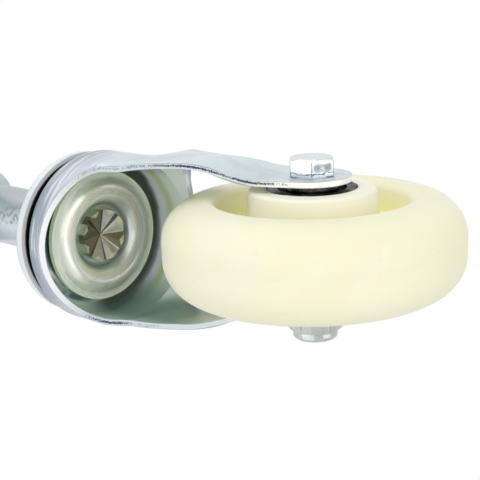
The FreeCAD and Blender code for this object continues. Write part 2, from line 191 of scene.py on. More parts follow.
def tones(tree, value, stops):  # a tone at each distance in mm
    low, high = stops[0][0], stops[-1][0]
    inputs = {'Value': value, 'From Min': low * mm, 'From Max': high * mm}
    share = addNode(tree, 'ShaderNodeMapRange', inputs).outputs['Result']
    return ramp(tree, share, [((place - low) / (high - low), tone) for place, tone in stops])


def drift(tree, value, pattern, reach):  # moves a border about by a pattern, reach in mm
    return plus(tree, value, times(tree, minus(tree, pattern, 0.5), 2 * reach * mm))


def fromAxis(tree, point, centre, keep):  # keep has 0 along the axis
    return vectorCalc(tree, 'MULTIPLY', vectorCalc(tree, 'SUBTRACT', point, tuple(centre)), keep)


def distance(tree, point, centre, keep):
    return vectorCalc(tree, 'LENGTH', fromAxis(tree, point, centre, keep))


def angleRound(tree, point, centre, across, along):  # 0 on the axis named last
    offset = vectorCalc(tree, 'SUBTRACT', point, tuple(centre))
    return calc(tree, 'ARCTAN2', axisValue(tree, offset, across), axisValue(tree, offset, along))


def foldAngle(tree, angle, count):  # angle from the nearest of so many lines
    return calc(tree, 'PINGPONG', angle, math.pi / count)


def roughness(tree, pattern, look):
    return span(tree, pattern, *patternRange, *look["rough"])


def startMaterial(name, metallic, specular=0.5):
    material = bpy.data.materials.new(name)
    material.use_nodes = True
    tree = material.node_tree
    shader = tree.nodes["Principled BSDF"]
    shader.inputs['Metallic'].default_value = metallic
    shader.inputs['Specular IOR Level'].default_value = specular
    return material, tree, shader, addNode(tree, 'ShaderNodeTexCoord').outputs['Object']


def surfaceNormal(tree):
    return addNode(tree, 'ShaderNodeTexCoord').outputs['Normal']


def finishMaterial(tree, shader, colour, rough, height, depth):  # depth of the bumps in mm
    join(tree, shader.inputs['Base Color'], colour)
    join(tree, shader.inputs['Roughness'], rough)
    bump = addNode(tree, 'ShaderNodeBump', {'Height': height, 'Strength': 1.0, 'Distance': depth * mm})
    join(tree, shader.inputs['Normal'], bump.outputs['Normal'])


def dress(material, *names):
    for name in names:
        nodes[name].material_slots[0].material = material


# zinc plate: two tones in soft clouds, a warm film in places, fine drawn lines and specks

zincPattern = {
    "cloudBorder": (0.35, 0.65), "filmBorder": (0.48, 0.72), "speckBorder": (0.62, 0.72),
    "speckRough": 0.1, "speckPit": -0.6,
}


def zincLayers(tree, point, look):
    clouds = noise(tree, point, look["cloudSize"], 4.0, warp=0.6)
    clouds = span(tree, clouds, *zincPattern["cloudBorder"])
    colour = mixColours(tree, clouds, look["face"], look["cloud"])
    film = noise(tree, point, look["filmSize"], 2.0, warp=1.5)
    film = span(tree, film, *zincPattern["filmBorder"], 0.0, look["filmShare"])
    colour = mixColours(tree, film, colour, look["film"])
    lines = noise(tree, point, look["lineSize"], 3.0, look["lineStretch"])
    specks = span(tree, noise(tree, point, look["speckSize"], 2.0), *zincPattern["speckBorder"])
    colour = mixColours(tree, times(tree, specks, look["speckShare"]), colour, look["speck"])
    rough = plus(tree, roughness(tree, lines, look), times(tree, specks, zincPattern["speckRough"]))
    height = plus(tree, lines, times(tree, specks, zincPattern["speckPit"]))
    return colour, rough, height


def zincMaterial(name, look):
    material, tree, shader, point = startMaterial(name, look["metallic"])
    colour, rough, height = zincLayers(tree, point, look)
    finishMaterial(tree, shader, colour, rough, height, look["depth"])
    return material


# fork: plated sheet, greener inside, with sheared edges that are half smooth and half torn
# lengths are in mm: heights over the axle, places ahead of the rod's axis (behind it below 0)

forkLook = {
    "metallic": 0.85, "insideMetal": 0.0, "cutMetal": 0.5,
    "face": tint(195, 205, 211), "cloud": tint(212, 224, 227), "cloudSize": 22,
    "film": tint(206, 219, 216), "filmSize": 34, "filmShare": 0.4,
    "speck": tint(160, 168, 176), "speckSize": 0.9, "speckShare": 0.2,
    "lineSize": 1.6, "lineStretch": (1, 1, 0.15), "rough": (0.28, 0.40), "depth": 0.005,
    # crown, darker towards the top race as painted shade, with light streaks of painted reflection and dark streaks of
    # painted shade round it
    "crownStart": (50, 60), "crownShare": 0.9,
    "crownShadeTones": [
        (50, tint(210, 221, 224)), (58, tint(198, 204, 212)), (62, tint(187, 191, 202)),
        (66, tint(170, 175, 189)), (69, tint(144, 155, 169)), (71, tint(132, 144, 158)),
    ],
    "streakSize": 1.8, "streakTurn": 2.5,
    "streakHighlight": tint(230, 234, 240), "streakBorder": (0.5, 0.66), "streakShare": 0.8,
    "streakShade": tint(140, 146, 158), "darkBorder": (0.48, 0.34), "darkShare": 0.7, "darkStart": (62, 66),
    # inside, where faces look towards the rod's axis: tones by height with a painted highlight band on the web and
    # painted shade darkening up towards the crown
    "insideTurn": (-2, -8), "toneDriftSize": 12, "toneDrift": 1.2, "legFacing": (0.6, 0.95),
    "webHighlightAndShade": [
        (50, tint(226, 232, 232)), (54, tint(226, 238, 232)), (60, tint(222, 236, 226)),
        (62.5, tint(200, 210, 152)), (64.5, tint(212, 222, 204)), (66, tint(234, 242, 248)),
        (68, tint(248, 252, 255)), (69.3, tint(150, 162, 162)), (70.5, tint(92, 102, 98)),
    ],
    "legShadeTones": [
        (16, tint(222, 230, 200)), (27, tint(210, 222, 194)), (38, tint(132, 160, 146)),
        (56, tint(128, 158, 146)), (66, tint(124, 154, 144)), (71, tint(92, 112, 106)),
    ],
    "frontWall": tint(212, 238, 224), "frontWallStart": (-4, 10),
    # dark on the ball track up under the top race: partly old grease, partly painted shade of the gap
    "greaseAndShade": tint(40, 36, 32), "greaseShadeStart": (70, 72), "trackFacing": (0.75, 0.9),
    # sheared edges: the lip and the web's edge look down, the legs' edges don't look sideways
    "lipFacing": (-0.3, -0.5), "lipTop": (67, 66), "lipStart": (0, 4),
    "legFront": (-6, -4), "legTop": (58, 56), "webEdge": (51.5, 51), "edgeFacing": (0.6, 0.4),
    # pale bare cut, brightened as a painted highlight along the edges, most low on the legs and on the lip
    "cutTonesAndHighlight": [
        (-12, tint(250, 251, 246)), (2, tint(244, 246, 240)), (12, tint(200, 208, 212)),
        (56, tint(190, 200, 204)), (59, tint(206, 214, 218)), (64, tint(238, 242, 243)),
    ],
    # outer face, from which the depth into an edge is counted
    "sheet": 2.0, "crownRadius": 29.7, "halfWidth": 28.4, "legHalfWidth": 23.0,
    "legStep": (7, 32), "skirtFlare": (48, 55),
    # torn half of an edge, in short dark marks across it: how much is torn at each height
    "tornCut": tint(52, 58, 92), "tornSize": 0.5, "tornDrift": 0.7, "tornRough": 0.25, "tornPit": -8.0,
    "tornPlace": 0.42, "tornBand": (0.26, 0.12),   # shares of the sheet
    "tornNear": [
        (-12, 0.0), (-4, 0.0), (0, 0.8), (6, 0.95), (16, 1.0), (30, 1.0), (38, 0.7), (58, 0.6), (63, 0.0),
    ],
    "tornFar": [(-12, 0.0), (38, 0.2), (46, 0.6), (50, 0.95), (58, 0.95), (60, 0.3), (62, 0.0)],
    "sideBorder": (-1, 1), "markSize": 0.26, "markStretch": (0.3, 1, 1), "markBorder": (0.88, 0.98),
    "markShare": 0.3, "markPatchSize": 7, "markPatchShare": 0.5,
    # burr along both borders of the cut, but not on the web
    "burr": tint(122, 130, 146), "burrWidth": (0.22, 0.088), "burrDrift": 0.12, "burrShare": 0.7,
    "webCut": (49.5, 50.5), "webPlace": (-18, -22),
}


def forkPlaces(tree, point):
    normal = surfaceNormal(tree)
    return {
        "rise": minus(tree, axisValue(tree, point, 'Z'), axle.z),
        "across": axisValue(tree, point, 'X'),
        "ahead": minus(tree, axisValue(tree, point, 'Y'), swivel.y),
        "angle": angleRound(tree, point, swivel, 'Y', 'X'),
        "sideways": magnitude(tree, axisValue(tree, normal, 'X')),
        "upward": axisValue(tree, normal, 'Z'),
        "outward": vectorCalc(tree, 'DOT_PRODUCT', fromAxis(tree, point, swivel, (1, 1, 0)), normal),
    }


def crownLayer(tree, at, colour, look):
    course = pair(tree, times(tree, at["angle"], look["streakTurn"] * mm), at["rise"])
    streaks = noise(tree, course, look["streakSize"], 3.0, warp=0.4)
    # light streaks are painted reflection and dark ones painted shade, over crown tones darkened towards the top race
    # as painted shade
    light = span(tree, streaks, *look["streakBorder"], 0.0, look["streakShare"])
    crown = mixColours(tree, light, tones(tree, at["rise"], look["crownShadeTones"]), look["streakHighlight"])
    dark = span(tree, streaks, *look["darkBorder"], 0.0, look["darkShare"])
    dark = times(tree, dark, spanMm(tree, at["rise"], *look["darkStart"]))
    crown = mixColours(tree, dark, crown, look["streakShade"])
    share = times(tree, spanMm(tree, at["rise"], *look["crownStart"]), look["crownShare"])
    return mixColours(tree, share, colour, crown)


def insideLayer(tree, point, at, colour, look):
    wander = noise(tree, point, look["toneDriftSize"], 3.0, warp=0.8)
    level = drift(tree, at["rise"], wander, look["toneDrift"])
    onLeg = span(tree, at["sideways"], *look["legFacing"])
    # painted highlight band on the web and painted shade deeper in, by height
    inner = mixColours(tree, onLeg, tones(tree, level, look["webHighlightAndShade"]), tones(tree, level, look["legShadeTones"]))
    inFront = spanMm(tree, at["ahead"], *look["frontWallStart"])
    inner = mixColours(tree, inFront, inner, look["frontWall"])
    inside = spanMm(tree, at["outward"], *look["insideTurn"])
    return mixColours(tree, inside, colour, inner), inside


def shearedEdges(tree, at, look):
    lip = times(tree, span(tree, at["upward"], *look["lipFacing"]), spanMm(tree, at["rise"], *look["lipTop"]),
                spanMm(tree, at["ahead"], *look["lipStart"]))
    front = times(tree, spanMm(tree, at["ahead"], *look["legFront"]), spanMm(tree, at["rise"], *look["legTop"]))
    below = spanMm(tree, at["rise"], *look["webEdge"])
    legs = times(tree, calc(tree, 'MAXIMUM', front, below), span(tree, at["sideways"], *look["edgeFacing"]))
    return calc(tree, 'MAXIMUM', legs, lip)


def edgeDepth(tree, at, look):
    leg, half, crown = (look[name] * mm for name in ("legHalfWidth", "halfWidth", "crownRadius"))
    outer = plus(tree, spanMm(tree, at["rise"], *look["legStep"], leg, half),
                 spanMm(tree, at["rise"], *look["skirtFlare"], 0.0, crown - half))
    spread = pair(tree, at["across"], calc(tree, 'MAXIMUM', at["ahead"], 0.0))
    return minus(tree, outer, vectorCalc(tree, 'LENGTH', spread))


def tornMarks(tree, point, at, depth, ragged, look):
    sheet = look["sheet"]
    middle = sheet * look["tornPlace"] * mm
    off = magnitude(tree, minus(tree, drift(tree, depth, ragged, look["tornDrift"]), middle))
    band = spanMm(tree, off, *(sheet * width for width in look["tornBand"]))
    near, far = (tones(tree, at["rise"], [(place, grey(share)) for place, share in look[side]])
                 for side in ("tornNear", "tornFar"))
    share = mixColours(tree, spanMm(tree, at["across"], *look["sideBorder"]), near, far)
    patches = times(tree, noise(tree, point, look["markPatchSize"], 2.0), look["markPatchShare"])
    marks = plus(tree, noise(tree, point, look["markSize"], 2.0, look["markStretch"]), patches)
    marks = span(tree, plus(tree, marks, times(tree, share, look["markShare"])), *look["markBorder"])
    return times(tree, band, marks, share)


def burrLines(tree, at, depth, ragged, look):
    border = calc(tree, 'MINIMUM', depth, minus(tree, look["sheet"] * mm, depth))
    line = spanMm(tree, drift(tree, border, ragged, look["burrDrift"]), *look["burrWidth"])
    onWeb = times(tree, spanMm(tree, at["rise"], *look["webCut"]), spanMm(tree, at["ahead"], *look["webPlace"]))
    return times(tree, line, look["burrShare"], minus(tree, 1.0, onWeb))


def forkMaterial(look):
    material, tree, shader, point = startMaterial("forkZinc", look["metallic"])
    at = forkPlaces(tree, point)
    colour, rough, height = zincLayers(tree, point, look)
    colour = crownLayer(tree, at, colour, look)
    colour, inside = insideLayer(tree, point, at, colour, look)
    # dark ball track under the top race: grease and painted shade
    onTrack = span(tree, at["upward"], *look["trackFacing"])
    greasedAndShaded = times(tree, onTrack, spanMm(tree, at["rise"], *look["greaseShadeStart"]))
    colour = mixColours(tree, greasedAndShaded, colour, look["greaseAndShade"])
    sheared = shearedEdges(tree, at, look)
    # sheared edges: pale cut with painted highlight
    colour = mixColours(tree, sheared, colour, tones(tree, at["rise"], look["cutTonesAndHighlight"]))
    depth = edgeDepth(tree, at, look)
    ragged = noise(tree, point, look["tornSize"], 4.0)
    burr = times(tree, sheared, burrLines(tree, at, depth, ragged, look))
    torn = times(tree, sheared, tornMarks(tree, point, at, depth, ragged, look))
    colour = mixColours(tree, burr, colour, look["burr"])
    colour = mixColours(tree, torn, colour, look["tornCut"])
    rough = plus(tree, rough, times(tree, torn, look["tornRough"]))
    height = plus(tree, height, times(tree, torn, ragged, look["tornPit"]))
    metal = mixValues(tree, inside, look["metallic"], look["insideMetal"])
    join(tree, shader.inputs['Metallic'], mixValues(tree, sheared, metal, look["cutMetal"]))
    finishMaterial(tree, shader, colour, rough, height, look["depth"])
    return material


dress(forkMaterial(forkLook), "fork")

# races: smooth pressings with rings of film, yellow to green, a painted highlight on the crest and painted shade
# towards the hole; lengths in mm from the rod's axis

raceLook = {
    "metallic": 0.5, "flatMetal": 0.1, "flatStart": (18.5, 20.5), "rough": (0.20, 0.30), "depth": 0.003,
    "rings": [
        (6.5, tint(156, 178, 168)), (9.5, tint(154, 178, 166)), (11.0, tint(166, 186, 168)),
        (13.0, tint(236, 238, 220)), (16.0, tint(252, 252, 250)), (18.0, tint(240, 240, 222)),
        (19.4, tint(214, 224, 204)), (20.6, tint(222, 228, 230)), (21.6, tint(228, 238, 220)),
        (22.6, tint(246, 249, 226)),
    ],
    "ringDriftSize": 16, "ringDrift": 1.0,
    "film": tint(222, 220, 174), "filmShare": 0.4, "filmSize": 11, "filmBorder": (0.5, 0.7),
    "cool": tint(196, 204, 222), "coolShare": 0.35, "coolSize": 9, "coolBorder": (0.54, 0.7),
    "coolShift": (0.03, 0.01, 0),
    # painted shade on the side that faces the web, painted highlight in front
    "rear": tint(184, 183, 190), "rearShare": 0.6, "rearStart": (8, -16), "rearEdge": (20, 18.5),
    "front": tint(255, 255, 255), "frontHighlightShare": 0.6, "frontHighlightStart": (2, 16),
    "frontInner": (11, 14), "frontOuter": (20, 18),
    # drawn rings left by the punch
    "groove": tint(150, 162, 140), "grooveShare": 0.4, "grooveStart": (17, 19), "grooveBorder": (0.5, 0.62),
    "lineSize": 0.9, "wornSize": 7, "wornBorder": (0.4, 0.6),
}


def raceMaterial(look):
    material, tree, shader, point = startMaterial("raceZinc", look["metallic"])
    radius = distance(tree, point, swivel, (1, 1, 0))
    ahead = minus(tree, axisValue(tree, point, 'Y'), swivel.y)
    wander = noise(tree, point, look["ringDriftSize"], 3.0, warp=0.8)
    # tones by radius: film tints with a painted highlight on the crest and painted shade towards the hole
    colour = tones(tree, drift(tree, radius, wander, look["ringDrift"]), look["rings"])
    film = noise(tree, point, look["filmSize"], 3.0, warp=1.6)
    film = span(tree, film, *look["filmBorder"], 0.0, look["filmShare"])
    colour = mixColours(tree, film, colour, look["film"])
    cool = noise(tree, vectorCalc(tree, 'ADD', point, look["coolShift"]), look["coolSize"], 3.0, warp=1.2)
    cool = span(tree, cool, *look["coolBorder"], 0.0, look["coolShare"])
    colour = mixColours(tree, cool, colour, look["cool"])
    # painted shade towards the web, painted highlight in front
    rear = spanMm(tree, ahead, *look["rearStart"], 0.0, look["rearShare"])
    rear = times(tree, rear, spanMm(tree, radius, *look["rearEdge"]))
    colour = mixColours(tree, rear, colour, look["rear"])
    front = spanMm(tree, ahead, *look["frontHighlightStart"], 0.0, look["frontHighlightShare"])
    front = times(tree, front, spanMm(tree, radius, *look["frontInner"]), spanMm(tree, radius, *look["frontOuter"]))
    colour = mixColours(tree, front, colour, look["front"])
    lines = noise(tree, pair(tree, radius), look["lineSize"], 3.0)
    worn = span(tree, noise(tree, point, look["wornSize"], 2.0), *look["wornBorder"])
    grooves = times(tree, span(tree, lines, *look["grooveBorder"]), worn,
                    spanMm(tree, radius, *look["grooveStart"]), look["grooveShare"])
    colour = mixColours(tree, grooves, colour, look["groove"])
    metal = spanMm(tree, radius, *look["flatStart"], look["metallic"], look["flatMetal"])
    join(tree, shader.inputs['Metallic'], metal)
    finishMaterial(tree, shader, colour, roughness(tree, lines, look), lines, look["depth"])
    return material


topRaceLook = {
    "metallic": 0.9, "rimMetal": 0.0,
    "face": tint(208, 214, 218), "cloud": tint(224, 229, 231), "cloudSize": 18,
    "film": tint(210, 216, 206), "filmSize": 26, "filmShare": 0.3,
    "speck": tint(160, 168, 176), "speckSize": 0.8, "speckShare": 0.2,
    "lineSize": 1.4, "lineStretch": (1, 1, 0.2), "rough": (0.26, 0.36), "depth": 0.004,
    # outer face of the rim lighter as painted highlight, and the inside dark with grease and painted shade
    "rim": tint(228, 234, 238), "rimHighlightTurn": (8, 20), "rimShare": 0.8,
    "greaseAndShade": tint(26, 23, 20), "insideTurn": (0, -8),
    # under edge of the rim: painted shade towards the balls, partly grease, and a painted highlight on its outer part
    "underFacing": (-0.5, -0.8),
    "underEdgeShadeAndHighlight": [
        (25.9, tint(26, 23, 20)), (26.8, tint(36, 34, 32)), (27.2, tint(242, 247, 251)), (27.8, tint(252, 254, 255)),
    ],
}


def topRaceMaterial(look):
    material, tree, shader, point = startMaterial("topRaceZinc", look["metallic"])
    colour, rough, height = zincLayers(tree, point, look)
    normal = surfaceNormal(tree)
    offset = fromAxis(tree, point, swivel, (1, 1, 0))
    outward = vectorCalc(tree, 'DOT_PRODUCT', offset, normal)
    # painted highlight on the rim's outer face, grease and painted shade inside
    colour = mixColours(tree, spanMm(tree, outward, *look["rimHighlightTurn"], 0.0, look["rimShare"]), colour, look["rim"])
    colour = mixColours(tree, spanMm(tree, outward, *look["insideTurn"]), colour, look["greaseAndShade"])
    # under edge: painted shade inwards, painted highlight outwards
    under = span(tree, axisValue(tree, normal, 'Z'), *look["underFacing"])
    colour = mixColours(tree, under, colour, tones(tree, vectorCalc(tree, 'LENGTH', offset), look["underEdgeShadeAndHighlight"]))
    join(tree, shader.inputs['Metallic'], mixValues(tree, under, look["metallic"], look["rimMetal"]))
    finishMaterial(tree, shader, colour, rough, height, look["depth"])
    return material


dress(raceMaterial(raceLook), "lower_race")
dress(topRaceMaterial(topRaceLook), "top_race")

# rod: turned and plated, with a speckled strip along it, and its end spread by a pointed punch

rodLook = {
    "metallic": 0.85,
    "face": tint(196, 203, 208), "cloud": tint(212, 216, 224), "cloudSize": 26,
    "film": tint(206, 207, 200), "filmSize": 30, "filmShare": 0.3,
    "speck": tint(120, 128, 132), "speckSize": 1.3, "speckShare": 0.3,
    "lineSize": 0.8, "lineStretch": (0.15, 0.15, 1), "rough": (0.28, 0.42), "depth": 0.006,
    # painted highlight along the middle of the rod and painted shade towards both sides, in mm from its axis
    "sides": [
        (-11, tint(160, 168, 170)), (-6, tint(176, 183, 185)), (-3, tint(210, 212, 214)), (0, tint(240, 242, 246)),
        (4, tint(236, 239, 244)), (7, tint(214, 218, 226)), (11, tint(186, 192, 202)),
    ],
    "sideShare": 0.7, "sideDrift": 2.5, "sideDriftSize": 6, "sideDriftStretch": (1, 1, 0.4),
    "mottle": tint(132, 135, 134), "mottleSize": 1.5, "mottleBorder": (0.47, 0.58), "mottleShare": 0.65,
    "stripPlace": -3.5, "stripWidth": (5.0, 1.5),
    # punch mark: painted reflection and painted shade on the facets, round from the side of the nut
    "stakeHeight": 3.3, "stakeBorder": (0.1, -0.1), "stakeRadius": 9.0, "stakeFacing": (-0.3, -0.5), "valleys": 8,
    "facetLightAndShade": [
        tint(212, 206, 192), tint(134, 130, 108), tint(108, 104, 86), tint(130, 128, 108),
        tint(226, 222, 224), tint(232, 230, 222), tint(128, 124, 98), tint(222, 214, 214),
    ],
    "dirt": tint(150, 146, 124), "dirtSize": 3.5, "dirtBorder": (0.42, 0.62), "dirtShare": 0.35,
    # pale triangles at its rim
    "rimPaleTone": tint(236, 236, 212), "rimReach": 2.4, "rimLean": 0.7, "rimBorder": (1.1, 1.2), "rimShare": 0.75,
    # width in mm and tone of the crease at each valley: painted shade in six, painted highlight in two
    "creaseShadeAndHighlight": [
        (0.45, tint(72, 68, 56)), (0.5, tint(62, 60, 48)), (0.15, tint(62, 60, 48)), (0.6, tint(62, 60, 48)),
        (0.45, tint(66, 64, 54)), (0.9, tint(58, 56, 46)), (0.3, tint(244, 245, 226)), (0.3, tint(244, 245, 226)),
    ],
    "creaseStart": 0.5, "creaseTaper": (0.3, 1.0), "creaseShare": 0.85,
}


def stakeColours(tree, point, look):
    count = look["valleys"]
    places = [index / count for index in range(count)]
    radius = distance(tree, point, swivel, (1, 1, 0))
    angle = angleRound(tree, point, swivel, 'Y', 'X')
    fold = foldAngle(tree, angle, count)
    turns = calc(tree, 'FRACT', calc(tree, 'DIVIDE', angle, 2 * math.pi))
    # facet tones: painted reflection on the pale ones, painted shade on the dark ones
    colour = ramp(tree, turns, list(zip(places, look["facetLightAndShade"])), 'CONSTANT')
    dirt = span(tree, noise(tree, point, look["dirtSize"], 3.0), *look["dirtBorder"])
    colour = mixColours(tree, times(tree, dirt, look["dirtShare"]), colour, look["dirt"])
    outwards = spanMm(tree, radius, look["stakeRadius"] - look["rimReach"], look["stakeRadius"], 0.0, look["rimLean"])
    rim = plus(tree, times(tree, fold, count / math.pi), outwards)
    rim = span(tree, rim, *look["rimBorder"], 0.0, look["rimShare"])
    colour = mixColours(tree, rim, colour, look["rimPaleTone"])
    nearest = calc(tree, 'FRACT', plus(tree, turns, 0.5 / count))
    widths, creaseShadeHighlightTones = zip(*look["creaseShadeAndHighlight"])
    width = ramp(tree, nearest, [(place, grey(share)) for place, share in zip(places, widths)], 'CONSTANT')
    creaseColour = ramp(tree, nearest, list(zip(places, creaseShadeHighlightTones)), 'CONSTANT')
    taper = (share * mm for share in look["creaseTaper"])
    width = times(tree, width, spanMm(tree, radius, look["creaseStart"], look["stakeRadius"], *taper))
    facing = span(tree, axisValue(tree, surfaceNormal(tree), 'Z'), *look["stakeFacing"])
    # painted shade down the creases, two of them painted highlight
    crease = calc(tree, 'LESS_THAN', times(tree, radius, fold), width)
    return mixColours(tree, times(tree, crease, facing, look["creaseShare"]), colour, creaseColour)


def rodMaterial(look):
    material, tree, shader, point = startMaterial("rodZinc", look["metallic"])
    colour, rough, height = zincLayers(tree, point, look)
    wander = noise(tree, point, look["sideDriftSize"], 4.0, look["sideDriftStretch"])
    across = drift(tree, axisValue(tree, point, 'X'), wander, look["sideDrift"])
    # painted highlight and shade across the rod
    colour = mixColours(tree, look["sideShare"], colour, tones(tree, across, look["sides"]))
    strip = magnitude(tree, minus(tree, across, look["stripPlace"] * mm))
    mottle = span(tree, noise(tree, point, look["mottleSize"], 4.0), *look["mottleBorder"])
    mottle = times(tree, spanMm(tree, strip, *look["stripWidth"]), mottle, look["mottleShare"])
    colour = mixColours(tree, mottle, colour, look["mottle"])
    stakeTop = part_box("stem")[0].z + look["stakeHeight"] * mm
    stake = spanMm(tree, minus(tree, axisValue(tree, point, 'Z'), stakeTop), *look["stakeBorder"])
    colour = mixColours(tree, stake, colour, stakeColours(tree, point, look))
    finishMaterial(tree, shader, colour, rough, height, look["depth"])
    return material


dress(rodMaterial(rodLook), "stem")

# bracket, washers, pin and spacers: the same plate, rolled; the spacers darker as painted shade

stripLook = {
    "metallic": 0.85,
    "face": tint(178, 200, 202), "cloud": tint(197, 212, 215), "cloudSize": 30,
    "film": tint(194, 204, 194), "filmSize": 48, "filmShare": 0.35,
    "speck": tint(142, 150, 156), "speckSize": 1.0, "speckShare": 0.3,
    "lineSize": 1.2, "lineStretch": (1, 0.08, 0.08), "rough": (0.28, 0.44), "depth": 0.006,
}
pinLook = dict(stripLook, face=tint(150, 156, 158), cloud=tint(176, 182, 184), cloudSize=9,
               lineStretch=(0.2, 1, 1), rough=(0.22, 0.36))
# spacers darkened as painted shade
spacerLook = dict(pinLook, face=tint(118, 113, 106), cloud=tint(140, 136, 130), film=tint(124, 116, 102))
dress(zincMaterial("stripZinc", stripLook), "bracket", "upper_spring_washer", "lower_spring_washer")
dress(zincMaterial("pinZinc", pinLook), "cross_pin")
dress(zincMaterial("spacerPaintedShade", spacerLook), "spacer_tube", "leg_spacers")

# bolt and nut: bright plate, dark along the hexagon's edges

boltLook = {
    "metallic": 0.9,
    "face": tint(214, 221, 224), "cloud": tint(224, 230, 232), "cloudSize": 7,
    "film": tint(232, 236, 226), "filmSize": 9, "filmShare": 0.25,
    "speck": tint(150, 158, 166), "speckSize": 0.55, "speckShare": 0.2,
    "lineSize": 0.6, "lineStretch": (0.25, 1, 1), "rough": (0.16, 0.28), "depth": 0.005,
    # shape, lengths in mm from the wheel's middle
    "flats": 6, "turn": 19.2, "acrossFlats": 14.0, "seat": 23.4, "top": 29.0,
    "end": tint(210, 217, 222), "endFacing": (0.75, 0.9), "flankFacing": (0.3, 0.1),
    # broken dark lines at the corners, and a wavy one round the seat
    "edge": tint(84, 92, 104), "edgeShare": 0.9, "edgeFade": 0.5, "edgeBreak": (0.3, 0.5), "raggedSize": 1.1,
    "cornerWidth": (0.28, 0.12), "cornerDrift": 0.12, "cornerStart": (0.5, 0.53),
    "seatRise": 1.1, "seatWidth": (0.2, 0.08), "seatDrift": 1.3, "seatDriftSize": 3.2,
    # a rubbed place on one flat
    "patch": 0.8, "patchRough": 0.4, "patchSide": (0.52, 0.36), "patchHeight": (2.0, 0.6), "patchDrift": 1.2,
    "strokePitch": 0.42, "strokeLean": 0.35, "strokeRagged": 1.6, "strokeBorder": (0.3, 1.4), "strokeRange": (0.6, 1.0),
    "blotchSize": 2.2, "blotchBorder": (0.35, 0.6), "blotchRange": (0.4, 1.0),
}
nutLook = dict(boltLook, face=tint(186, 191, 188), cloud=tint(200, 205, 201), end=tint(198, 203, 199),
               patch=0.0, edgeShare=0.5, turn=49.2, acrossFlats=16.6, top=29.2)


def rubbedPlace(tree, point, angle, reach, ragged, look):
    along = plus(tree, times(tree, angle, look["acrossFlats"] / 2), times(tree, reach, look["strokeLean"] / mm))
    strokes = calc(tree, 'SINE', times(tree, along, 2 * math.pi / look["strokePitch"]))
    strokes = plus(tree, strokes, times(tree, ragged, look["strokeRagged"]))
    strokes = span(tree, strokes, *look["strokeBorder"], *look["strokeRange"])
    blotch = span(tree, noise(tree, point, look["blotchSize"], 2.0), *look["blotchBorder"], *look["blotchRange"])
    sideOff = magnitude(tree, plus(tree, angle, math.pi / 2))
    heightOff = magnitude(tree, minus(tree, reach, (look["seat"] + look["top"]) / 2 * mm))
    within = times(tree, span(tree, sideOff, *look["patchSide"]),
                   spanMm(tree, drift(tree, heightOff, ragged, look["patchDrift"]), *look["patchHeight"]))
    return times(tree, within, strokes, blotch, look["patch"])


def hexMaterial(name, look):
    material, tree, shader, point = startMaterial(name, look["metallic"])
    colour, rough, height = zincLayers(tree, point, look)
    reach = magnitude(tree, axisValue(tree, point, 'X'))
    radius = distance(tree, point, axle, (0, 1, 1))
    ragged = noise(tree, point, look["raggedSize"], 3.0)
    sideways = magnitude(tree, axisValue(tree, surfaceNormal(tree), 'X'))
    flank = span(tree, sideways, *look["flankFacing"])
    colour = mixColours(tree, span(tree, sideways, *look["endFacing"]), colour, look["end"])
    turn = {'Vector': point, 'Center': tuple(axle), 'Axis': (1, 0, 0), 'Angle': -math.radians(look["turn"])}
    turned = addNode(tree, 'ShaderNodeVectorRotate', turn).outputs['Vector']
    angle = angleRound(tree, turned, axle, 'Z', 'Y')
    fold = foldAngle(tree, angle, look["flats"])
    fromCorner = drift(tree, times(tree, radius, fold), ragged, look["cornerDrift"])
    atCorner = spanMm(tree, radius, *(look["acrossFlats"] * share for share in look["cornerStart"]))
    corner = times(tree, spanMm(tree, fromCorner, *look["cornerWidth"]), atCorner)
    wander = noise(tree, point, look["seatDriftSize"], 2.0)
    fromSeat = drift(tree, minus(tree, reach, look["seat"] * mm), wander, look["seatDrift"])
    seatLine = magnitude(tree, minus(tree, fromSeat, look["seatRise"] * mm))
    seatLine = spanMm(tree, seatLine, *look["seatWidth"])
    broken = span(tree, ragged, *look["edgeBreak"], look["edgeShare"] - look["edgeFade"], look["edgeShare"])
    edge = times(tree, calc(tree, 'MAXIMUM', corner, seatLine), flank, broken)
    patch = times(tree, rubbedPlace(tree, point, angle, reach, ragged, look), flank)
    colour = mixColours(tree, calc(tree, 'MAXIMUM', edge, patch), colour, look["edge"])
    rough = plus(tree, rough, times(tree, patch, look["patchRough"]))
    finishMaterial(tree, shader, colour, rough, height, look["depth"])
    return material


dress(hexMaterial("boltZinc", boltLook), "axle_bolt")
dress(hexMaterial("nutZinc", nutLook), "axle_nut")
print("zinc finishes done")

# bearings: ground rings darkened by oil, black shields, polished balls, strip cages, and swivel balls darkened by
# grease and painted shade

bearingLooks = {
    "ring": {"face": tint(140, 142, 140), "oil": tint(16, 17, 17), "rough": (0.10, 0.2), "glare": tint(170, 170, 168)},
    "shield": {"face": tint(24, 22, 21), "oil": tint(46, 44, 42), "rough": (0.18, 0.32), "glare": tint(130, 130, 130)},
    "ball": {"face": tint(206, 210, 214), "oil": tint(170, 166, 150), "rough": (0.05, 0.12)},
    "cage": {"face": tint(176, 172, 158), "oil": tint(132, 126, 108), "rough": (0.26, 0.4)},
    "greasyBallPaintedShade": {"face": tint(112, 108, 100), "oil": tint(46, 42, 36), "rough": (0.12, 0.3)},
}
bearingPattern = {
    "smearSize": 5, "smearBorder": (0.38, 0.64), "groundSize": 0.5, "groundStretch": (0.3, 1, 1), "depth": 0.002,
}


